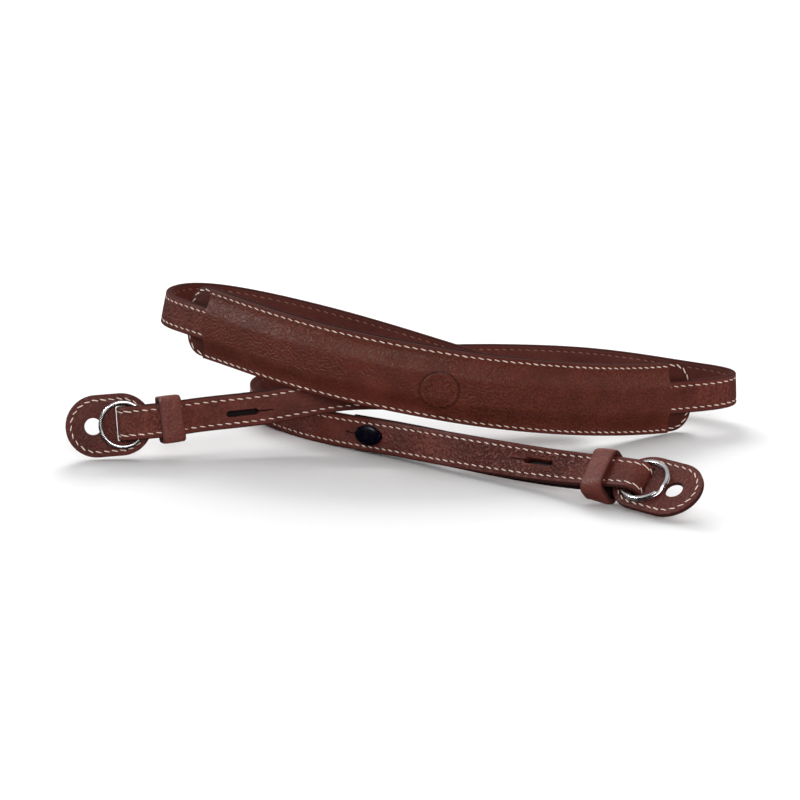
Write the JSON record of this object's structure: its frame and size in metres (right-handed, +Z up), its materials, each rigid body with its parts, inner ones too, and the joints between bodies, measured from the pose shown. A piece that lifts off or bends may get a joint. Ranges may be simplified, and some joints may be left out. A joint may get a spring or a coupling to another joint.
{
  "type": "leather carrying strap with shoulder pad",
  "caption": "Stitched brown leather carrying strap with a sewn shoulder pad, its ends folded through split rings and leather flaps and buttoned back with studs, lying in a loose coil.",
  "frame": {"origin": "the point of the floor under the middle of the bounding box of the coiled strap", "axes": "+Z up; +X to the right and -Y towards the viewer of the picture, so the left end lies at -X and the right end at +X, -Y"},
  "size_m": [0.2426, 0.1826, 0.0547],
  "materials": {
    "strap_leather": "pebbled grain, semi-matt, stitched in cream thread",
    "backing_leather": "smooth, matt",
    "ring_steel": "polished",
    "stud_metal": "polished, nearly black"
  },
  "bodies": {
    "root": {"strap": "strap_leather", "pad_face": "strap_leather", "pad_back": "backing_leather", "left_keeper": "strap_leather", "right_keeper": "strap_leather", "left_ring": "ring_steel", "right_ring": "ring_steel", "left_flap": "strap_leather", "right_flap": "strap_leather", "left_stud": "stud_metal", "right_stud": "stud_metal"}
  },
  "joints": []
}
